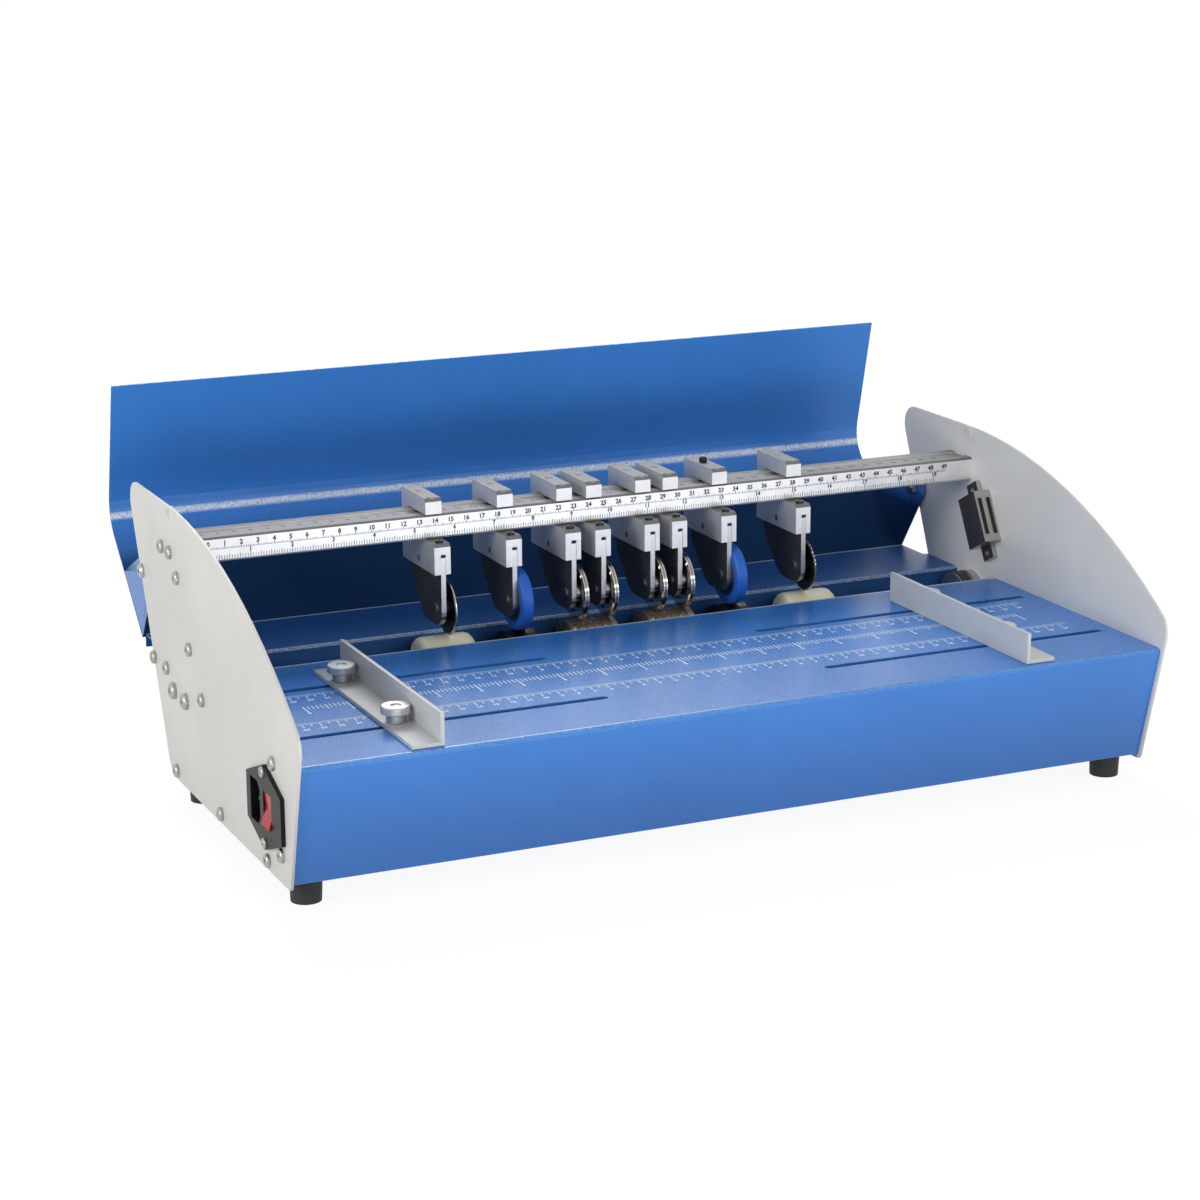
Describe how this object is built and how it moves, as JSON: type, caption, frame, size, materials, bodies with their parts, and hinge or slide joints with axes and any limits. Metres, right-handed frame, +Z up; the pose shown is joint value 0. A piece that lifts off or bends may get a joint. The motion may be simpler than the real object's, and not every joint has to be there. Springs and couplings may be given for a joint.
{
  "type": "electric creasing machine",
  "caption": "Desk paper creasing machine: blue feed table between grey side plates, ruler beam with sliding wheel tools, driven roller shaft and hinged cover.",
  "frame": {"origin": "on the surface it stands on, under the middle of the whole width and depth with the cover open", "axes": "+X to the operator's right along the width, +Y from the operator to the rear, +Z up"},
  "size_m": [0.5408, 0.3694, 0.2263],
  "materials": {
    "plate_paint": "pale grey powder coat",
    "table_paint": "blue textured powder coat",
    "cover_paint": "blue textured powder coat",
    "guide_paint": "pale grey powder coat",
    "zinc_screws": "zinc plated",
    "white_nylon": "moulded nylon",
    "catch_steel": "dull zinc",
    "beam_aluminium": "satin anodised",
    "foot_rubber": "moulded rubber",
    "inlet_plastic": "black moulded plastic",
    "pin_metal": "plated brass",
    "rocker_plastic": "red moulded plastic",
    "knob_chrome": "knurled and plated",
    "shaft_steel": "ground",
    "roller_nylon": "turned nylon",
    "dark_steel": "oil blackened",
    "block_steel": "satin, with blackened set screws",
    "blade_steel": "blackened, ground edge",
    "wheel_chrome": "polished",
    "bronze_rollers": "turned bronze",
    "feed_rubber": "blue rubber tyre on a metal hub",
    "pulley_metal": "turned",
    "motor_shell": "zinc plated",
    "belt_rubber": "flat belt"
  },
  "bodies": {
    "frame": {"left_side_plate": "plate_paint", "right_side_plate": "plate_paint", "infeed_table": "table_paint", "bottom_tray": "table_paint", "rear_ledge": "table_paint", "rear_panel": "table_paint", "cover_pivot_pins": "zinc_screws", "cover_bumpers": "white_nylon", "catch_magnets": "catch_steel", "ruler_beam": "beam_aluminium", "side_plate_screws": "zinc_screws", "bearing_screws": "zinc_screws", "rubber_feet": "foot_rubber", "power_inlet": "inlet_plastic", "inlet_pins": "pin_metal", "inlet_screws": "zinc_screws", "shaft_bearings": "catch_steel", "drive_motor": "motor_shell", "motor_bracket": "motor_shell", "drive_belt": "belt_rubber"},
    "lid": {"cover": "cover_paint"},
    "switch": {"rocker_switch": "rocker_plastic"},
    "left_guide_slide": {"left_guide": "guide_paint", "left_guide_nuts": "zinc_screws"},
    "right_guide_slide": {"right_guide": "guide_paint", "right_guide_nuts": "zinc_screws"},
    "roller_shaft": {"lower_shaft": "shaft_steel", "nylon_rollers": "roller_nylon", "steel_rollers": "dark_steel", "creasing_rollers": "bronze_rollers", "drive_pulley": "pulley_metal"},
    "motor_rotor": {"motor_pulley": "pulley_metal"},
    "left_front_screw": {"left_front_knob": "knob_chrome"},
    "left_rear_screw": {"left_rear_knob": "knob_chrome"},
    "right_front_screw": {"right_front_knob": "knob_chrome"},
    "right_rear_screw": {"right_rear_knob": "knob_chrome"},
    "tool_1_slide": {"tool_block_1": "block_steel"},
    "tool_1_swing": {"tool_arm_1": "dark_steel"},
    "tool_1_roll": {"cutting_wheel": "blade_steel"},
    "tool_2_slide": {"tool_block_2": "block_steel"},
    "tool_2_swing": {"tool_arm_2": "dark_steel"},
    "tool_2_roll": {"left_feed_wheel": "feed_rubber"},
    "tool_3_slide": {"tool_block_3": "block_steel"},
    "tool_3_swing": {"tool_arm_3": "dark_steel"},
    "tool_3_roll": {"creasing_wheel_1": "wheel_chrome"},
    "tool_4_slide": {"tool_block_4": "block_steel"},
    "tool_4_swing": {"tool_arm_4": "dark_steel"},
    "tool_4_roll": {"creasing_wheel_2": "wheel_chrome"},
    "tool_5_slide": {"tool_block_5": "block_steel"},
    "tool_5_swing": {"tool_arm_5": "dark_steel"},
    "tool_5_roll": {"creasing_wheel_3": "wheel_chrome"},
    "tool_6_slide": {"tool_block_6": "block_steel"},
    "tool_6_swing": {"tool_arm_6": "dark_steel"},
    "tool_6_roll": {"creasing_wheel_4": "wheel_chrome"},
    "tool_7_slide": {"tool_block_7": "block_steel"},
    "tool_7_swing": {"tool_arm_7": "dark_steel"},
    "tool_7_roll": {"right_feed_wheel": "feed_rubber"},
    "tool_8_slide": {"tool_block_8": "block_steel"},
    "tool_8_swing": {"tool_arm_8": "dark_steel"},
    "tool_8_roll": {"perforating_wheel": "blade_steel"}
  },
  "joints": [
    {"name": "cover_hinge", "type": "hinge", "parent": "frame", "child": "lid", "pos_m": [0.00035, 0.10142, 0.126], "axis": [1, 0, 0], "range_deg": [0, 138]},
    {"name": "rocker_tilt", "type": "hinge", "parent": "frame", "child": "switch", "pos_m": [-0.26635, -0.13508, 0.049], "axis": [0, -1, 0], "range_deg": [0, 14]},
    {"name": "left_guide_travel", "type": "slide", "parent": "frame", "child": "left_guide_slide", "axis": [1, 0, 0], "range_m": [-0.057, 0.116]},
    {"name": "right_guide_travel", "type": "slide", "parent": "frame", "child": "right_guide_slide", "axis": [1, 0, 0], "range_m": [-0.112, 0.062]},
    {"name": "roller_shaft_spin", "type": "hinge", "parent": "frame", "child": "roller_shaft", "pos_m": [0.00035, 0.03072, 0.0674], "axis": [1, 0, 0], "continuous": true},
    {"name": "motor_spin", "type": "hinge", "parent": "frame", "child": "motor_rotor", "pos_m": [0.25035, -0.04008, 0.042], "axis": [1, 0, 0], "continuous": true},
    {"name": "left_front_knob_turn", "type": "hinge", "parent": "left_guide_slide", "child": "left_front_screw", "pos_m": [-0.19365, -0.13108, 0.095], "axis": [0, 0, 1], "range_deg": [0, 360]},
    {"name": "left_rear_knob_turn", "type": "hinge", "parent": "left_guide_slide", "child": "left_rear_screw", "pos_m": [-0.19365, -0.04408, 0.095], "axis": [0, 0, 1], "range_deg": [0, 360]},
    {"name": "right_front_knob_turn", "type": "hinge", "parent": "right_guide_slide", "child": "right_front_screw", "pos_m": [0.18755, -0.13108, 0.095], "axis": [0, 0, 1], "range_deg": [0, 360]},
    {"name": "right_rear_knob_turn", "type": "hinge", "parent": "right_guide_slide", "child": "right_rear_screw", "pos_m": [0.18755, -0.04408, 0.095], "axis": [0, 0, 1], "range_deg": [0, 360]},
    {"name": "tool_1_travel", "type": "slide", "parent": "frame", "child": "tool_1_slide", "axis": [1, 0, 0], "range_m": [-0.125, 0.03]},
    {"name": "tool_1_lift", "type": "hinge", "parent": "tool_1_slide", "child": "tool_1_swing", "pos_m": [-0.10587, 0.04692, 0.1295], "axis": [1, 0, 0], "range_deg": [-3, 0]},
    {"name": "cutting_wheel_spin", "type": "hinge", "parent": "tool_1_swing", "child": "tool_1_roll", "pos_m": [-0.10052, 0.03072, 0.1015], "axis": [1, 0, 0], "continuous": true},
    {"name": "tool_2_travel", "type": "slide", "parent": "frame", "child": "tool_2_slide", "axis": [1, 0, 0], "range_m": [-0.02, 0.02]},
    {"name": "tool_2_lift", "type": "hinge", "parent": "tool_2_slide", "child": "tool_2_swing", "pos_m": [-0.06004, 0.04692, 0.1295], "axis": [1, 0, 0], "range_deg": [-3, 0]},
    {"name": "left_feed_wheel_spin", "type": "hinge", "parent": "tool_2_swing", "child": "tool_2_roll", "pos_m": [-0.05469, 0.03072, 0.1015], "axis": [1, 0, 0], "continuous": true},
    {"name": "tool_3_travel", "type": "slide", "parent": "frame", "child": "tool_3_slide", "axis": [1, 0, 0], "range_m": [-0.02, 0.0065]},
    {"name": "tool_3_lift", "type": "hinge", "parent": "tool_3_slide", "child": "tool_3_swing", "pos_m": [-0.02127, 0.04692, 0.1295], "axis": [1, 0, 0], "range_deg": [-3, 0]},
    {"name": "creasing_wheel_1_spin", "type": "hinge", "parent": "tool_3_swing", "child": "tool_3_roll", "pos_m": [-0.01592, 0.03072, 0.1015], "axis": [1, 0, 0], "continuous": true},
    {"name": "tool_4_travel", "type": "slide", "parent": "frame", "child": "tool_4_slide", "axis": [1, 0, 0], "range_m": [-0.0065, 0.018]},
    {"name": "tool_4_lift", "type": "hinge", "parent": "tool_4_slide", "child": "tool_4_swing", "pos_m": [-0.00154, 0.04692, 0.1295], "axis": [1, 0, 0], "range_deg": [-3, 0]},
    {"name": "creasing_wheel_2_spin", "type": "hinge", "parent": "tool_4_swing", "child": "tool_4_roll", "pos_m": [0.00381, 0.03072, 0.1015], "axis": [1, 0, 0], "continuous": true},
    {"name": "tool_5_travel", "type": "slide", "parent": "frame", "child": "tool_5_slide", "axis": [1, 0, 0], "range_m": [-0.018, 0.0055]},
    {"name": "tool_5_lift", "type": "hinge", "parent": "tool_5_slide", "child": "tool_5_swing", "pos_m": [0.03135, 0.04692, 0.1295], "axis": [1, 0, 0], "range_deg": [-3, 0]},
    {"name": "creasing_wheel_3_spin", "type": "hinge", "parent": "tool_5_swing", "child": "tool_5_roll", "pos_m": [0.0367, 0.03072, 0.1015], "axis": [1, 0, 0], "continuous": true},
    {"name": "tool_6_travel", "type": "slide", "parent": "frame", "child": "tool_6_slide", "axis": [1, 0, 0], "range_m": [-0.0055, 0.018]},
    {"name": "tool_6_lift", "type": "hinge", "parent": "tool_6_slide", "child": "tool_6_swing", "pos_m": [0.04996, 0.04692, 0.1295], "axis": [1, 0, 0], "range_deg": [-3, 0]},
    {"name": "creasing_wheel_4_spin", "type": "hinge", "parent": "tool_6_swing", "child": "tool_6_roll", "pos_m": [0.05531, 0.03072, 0.1015], "axis": [1, 0, 0], "continuous": true},
    {"name": "tool_7_travel", "type": "slide", "parent": "frame", "child": "tool_7_slide", "axis": [1, 0, 0], "range_m": [-0.018, 0.024]},
    {"name": "tool_7_lift", "type": "hinge", "parent": "tool_7_slide", "child": "tool_7_swing", "pos_m": [0.08375, 0.04692, 0.1295], "axis": [1, 0, 0], "range_deg": [-3, 0]},
    {"name": "right_feed_wheel_spin", "type": "hinge", "parent": "tool_7_swing", "child": "tool_7_roll", "pos_m": [0.0891, 0.03072, 0.1015], "axis": [1, 0, 0], "continuous": true},
    {"name": "tool_8_travel", "type": "slide", "parent": "frame", "child": "tool_8_slide", "axis": [1, 0, 0], "range_m": [-0.03, 0.1]},
    {"name": "tool_8_lift", "type": "hinge", "parent": "tool_8_slide", "child": "tool_8_swing", "pos_m": [0.13557, 0.04692, 0.1295], "axis": [1, 0, 0], "range_deg": [-3, 0]},
    {"name": "perforating_wheel_spin", "type": "hinge", "parent": "tool_8_swing", "child": "tool_8_roll", "pos_m": [0.14092, 0.03072, 0.1015], "axis": [1, 0, 0], "continuous": true}
  ],
  "couplings": [
    {"joint": "motor_spin", "follows": "roller_shaft_spin", "ratio": 1.6667},
    {"joint": "cutting_wheel_spin", "follows": "roller_shaft_spin", "ratio": -1},
    {"joint": "left_feed_wheel_spin", "follows": "roller_shaft_spin", "ratio": -0.77895},
    {"joint": "creasing_wheel_1_spin", "follows": "roller_shaft_spin", "ratio": -0.94253},
    {"joint": "creasing_wheel_2_spin", "follows": "roller_shaft_spin", "ratio": -0.94253},
    {"joint": "creasing_wheel_3_spin", "follows": "roller_shaft_spin", "ratio": -0.94253},
    {"joint": "creasing_wheel_4_spin", "follows": "roller_shaft_spin", "ratio": -0.94253},
    {"joint": "right_feed_wheel_spin", "follows": "roller_shaft_spin", "ratio": -0.77895},
    {"joint": "perforating_wheel_spin", "follows": "roller_shaft_spin", "ratio": -1}
  ]
}
